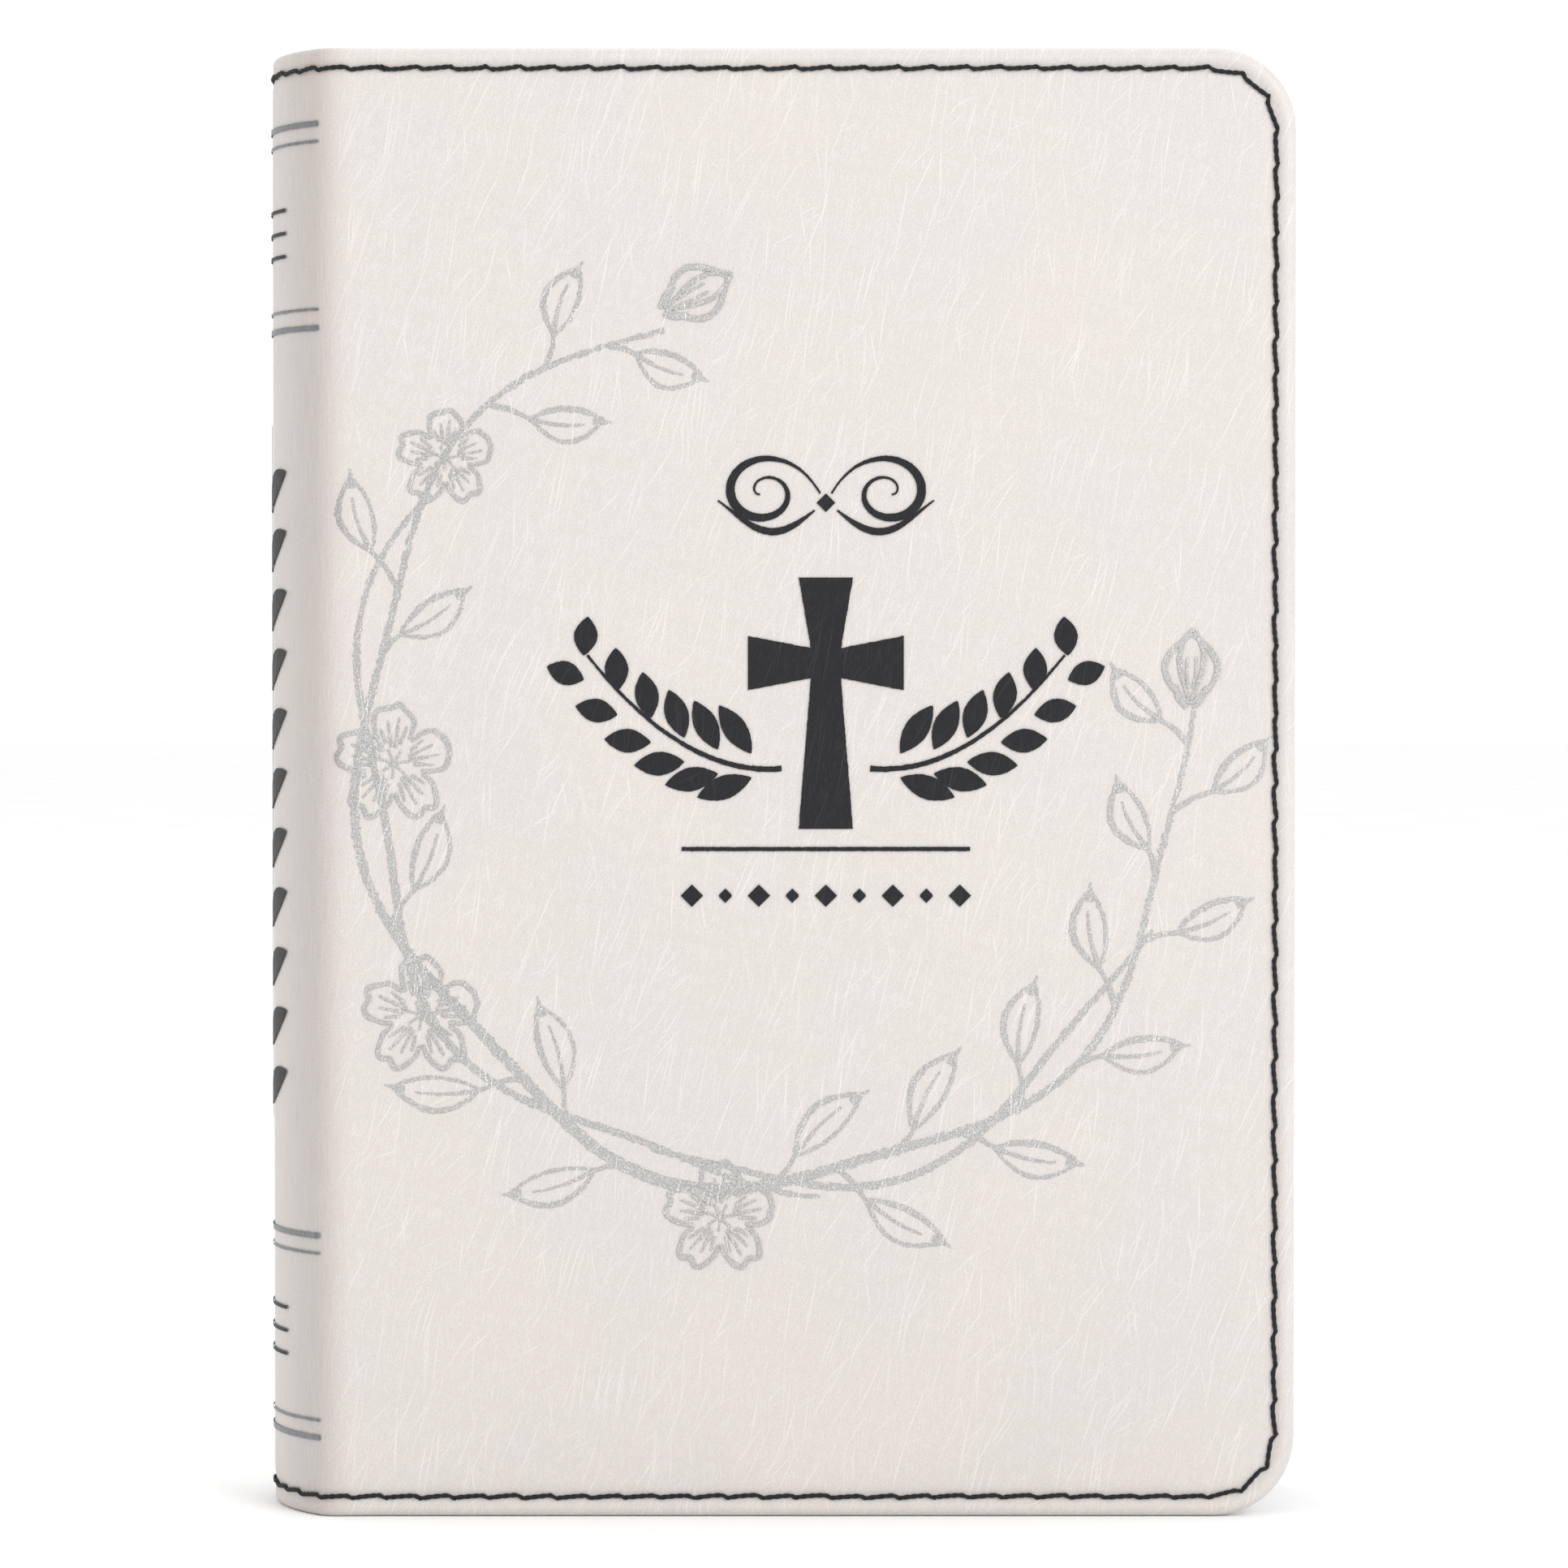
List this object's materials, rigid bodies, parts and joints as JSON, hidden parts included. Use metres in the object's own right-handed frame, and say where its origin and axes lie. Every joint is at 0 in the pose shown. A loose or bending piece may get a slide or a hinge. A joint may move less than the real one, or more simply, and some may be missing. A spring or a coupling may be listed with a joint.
{
  "type": "bible",
  "caption": "Compact Bible in a flexible pearl-white stitched cover with a rounded spine, sewn sections, flyleaves, endbands and a ribbon marker; the covers, flyleaves and text block open.",
  "frame": {"origin": "middle of the closed book's footprint, on the surface that it stands on", "axes": "+Z from tail to head, +X from the spine to the fore-edge, -Y out of the front cover"},
  "size_m": [0.1115, 0.0312, 0.158],
  "materials": {
    "cover_leather": "pearl white embossed imitation leather with fine crossing fibres",
    "board": "flexible grey-brown card",
    "lining": "smooth light grey lining paper",
    "thread": "black two-ply sewing thread",
    "silver_foil": "silver hot-stamped foil",
    "black_foil": "black hot-stamped foil",
    "page_paper": "thin printing paper with silver-gilt edges",
    "flyleaf_paper": "uncoated endpaper",
    "mull": "open starched cotton gauze",
    "kraft_paper": "brown kraft lining paper",
    "endband_cloth": "woven white and grey endband",
    "ribbon": "white satin ribbon"
  },
  "bodies": {
    "section_16": {"section_16": "page_paper"},
    "section_01": {"section_01": "page_paper"},
    "section_02": {"section_02": "page_paper"},
    "section_03": {"section_03": "page_paper"},
    "section_04": {"section_04": "page_paper"},
    "section_05": {"section_05": "page_paper"},
    "section_06": {"section_06": "page_paper"},
    "section_07": {"section_07": "page_paper"},
    "section_08": {"section_08": "page_paper"},
    "section_09": {"section_09": "page_paper", "ribbon_marker": "ribbon"},
    "section_10": {"section_10": "page_paper"},
    "section_11": {"section_11": "page_paper"},
    "section_12": {"section_12": "page_paper"},
    "section_13": {"section_13": "page_paper"},
    "section_14": {"section_14": "page_paper"},
    "section_15": {"section_15": "page_paper"},
    "spine": {"spine_leather": "cover_leather", "spine_stiffener": "board", "spine_paper": "kraft_paper", "spine_mull": "mull", "spine_stitching": "thread", "spine_foil_bands": "silver_foil", "spine_foil_ornament": "black_foil", "headband": "endband_cloth", "tailband": "endband_cloth", "front_hinge_leather": "cover_leather", "back_hinge_leather": "cover_leather"},
    "front_flyleaf": {"front_flyleaf": "flyleaf_paper"},
    "back_flyleaf": {"back_flyleaf": "flyleaf_paper"},
    "front_cover": {"front_cover_leather": "cover_leather", "front_board": "board", "front_lining": "lining", "front_stitching": "thread", "front_wreath_foil": "silver_foil", "front_ornament_foil": "black_foil"},
    "back_cover": {"back_cover_leather": "cover_leather", "back_board": "board", "back_lining": "lining", "back_stitching": "thread"}
  },
  "joints": [
    {"name": "book_opening", "type": "hinge", "parent": "section_16", "child": "spine", "pos_m": [-0.0542, 0.0125, 0.079], "axis": [0, 0, 1], "range_deg": [-90, 0]},
    {"name": "front_half_turn", "type": "hinge", "parent": "spine", "child": "section_01", "pos_m": [-0.0542, -0.0125, 0.079], "axis": [0, 0, 1], "range_deg": [-90.5, 0]},
    {"name": "section_15_shear", "type": "slide", "parent": "section_16", "child": "section_15", "axis": [1, 0, 0], "range_m": [-0.00168, 0]},
    {"name": "section_14_shear", "type": "slide", "parent": "section_16", "child": "section_14", "axis": [1, 0, 0], "range_m": [-0.00339, 0]},
    {"name": "section_13_shear", "type": "slide", "parent": "section_16", "child": "section_13", "axis": [1, 0, 0], "range_m": [-0.00522, 0]},
    {"name": "section_12_shear", "type": "slide", "parent": "section_16", "child": "section_12", "axis": [1, 0, 0], "range_m": [-0.00718, 0]},
    {"name": "section_11_shear", "type": "slide", "parent": "section_16", "child": "section_11", "axis": [1, 0, 0], "range_m": [-0.00926, 0]},
    {"name": "section_10_shear", "type": "slide", "parent": "section_16", "child": "section_10", "axis": [1, 0, 0], "range_m": [-0.01147, 0]},
    {"name": "section_09_shear", "type": "slide", "parent": "section_16", "child": "section_09", "axis": [1, 0, 0], "range_m": [-0.0138, 0]},
    {"name": "section_02_shear", "type": "slide", "parent": "section_01", "child": "section_02", "axis": [1, 0, 0], "range_m": [-0.00168, 0]},
    {"name": "section_03_shear", "type": "slide", "parent": "section_01", "child": "section_03", "axis": [1, 0, 0], "range_m": [-0.00339, 0]},
    {"name": "section_04_shear", "type": "slide", "parent": "section_01", "child": "section_04", "axis": [1, 0, 0], "range_m": [-0.00522, 0]},
    {"name": "section_05_shear", "type": "slide", "parent": "section_01", "child": "section_05", "axis": [1, 0, 0], "range_m": [-0.00718, 0]},
    {"name": "section_06_shear", "type": "slide", "parent": "section_01", "child": "section_06", "axis": [1, 0, 0], "range_m": [-0.00926, 0]},
    {"name": "section_07_shear", "type": "slide", "parent": "section_01", "child": "section_07", "axis": [1, 0, 0], "range_m": [-0.01147, 0]},
    {"name": "section_08_shear", "type": "slide", "parent": "section_01", "child": "section_08", "axis": [1, 0, 0], "range_m": [-0.0138, 0]},
    {"name": "front_flyleaf_turn", "type": "hinge", "parent": "section_01", "child": "front_flyleaf", "pos_m": [-0.0482, -0.01274, 0.079], "axis": [0, 0, 1], "range_deg": [-90, 0]},
    {"name": "front_cover_hinge", "type": "hinge", "parent": "front_flyleaf", "child": "front_cover", "pos_m": [-0.046, -0.0154, 0.079], "axis": [0, 0, -1], "range_deg": [0, 178], "deforming": ["front_hinge_leather"]},
    {"name": "back_flyleaf_turn", "type": "hinge", "parent": "section_16", "child": "back_flyleaf", "pos_m": [-0.0482, 0.01274, 0.079], "axis": [0, 0, -1], "range_deg": [-90, 0]},
    {"name": "back_cover_hinge", "type": "hinge", "parent": "back_flyleaf", "child": "back_cover", "pos_m": [-0.046, 0.0154, 0.079], "axis": [0, 0, 1], "range_deg": [0, 178], "deforming": ["back_hinge_leather"]}
  ],
  "couplings": [
    {"joint": "front_half_turn", "follows": "book_opening", "ratio": 1},
    {"joint": "section_15_shear", "follows": "book_opening", "m_per_rad": 0.0010071},
    {"joint": "section_14_shear", "follows": "book_opening", "m_per_rad": 0.0020938},
    {"joint": "section_13_shear", "follows": "book_opening", "m_per_rad": 0.0032601},
    {"joint": "section_12_shear", "follows": "book_opening", "m_per_rad": 0.0045066},
    {"joint": "section_11_shear", "follows": "book_opening", "m_per_rad": 0.0058321},
    {"joint": "section_10_shear", "follows": "book_opening", "m_per_rad": 0.0072371},
    {"joint": "section_09_shear", "follows": "book_opening", "m_per_rad": 0.0087217},
    {"joint": "section_02_shear", "follows": "book_opening", "m_per_rad": 0.0010071},
    {"joint": "section_03_shear", "follows": "book_opening", "m_per_rad": 0.0020938},
    {"joint": "section_04_shear", "follows": "book_opening", "m_per_rad": 0.0032601},
    {"joint": "section_05_shear", "follows": "book_opening", "m_per_rad": 0.0045066},
    {"joint": "section_06_shear", "follows": "book_opening", "m_per_rad": 0.0058321},
    {"joint": "section_07_shear", "follows": "book_opening", "m_per_rad": 0.0072371},
    {"joint": "section_08_shear", "follows": "book_opening", "m_per_rad": 0.0087217}
  ]
}
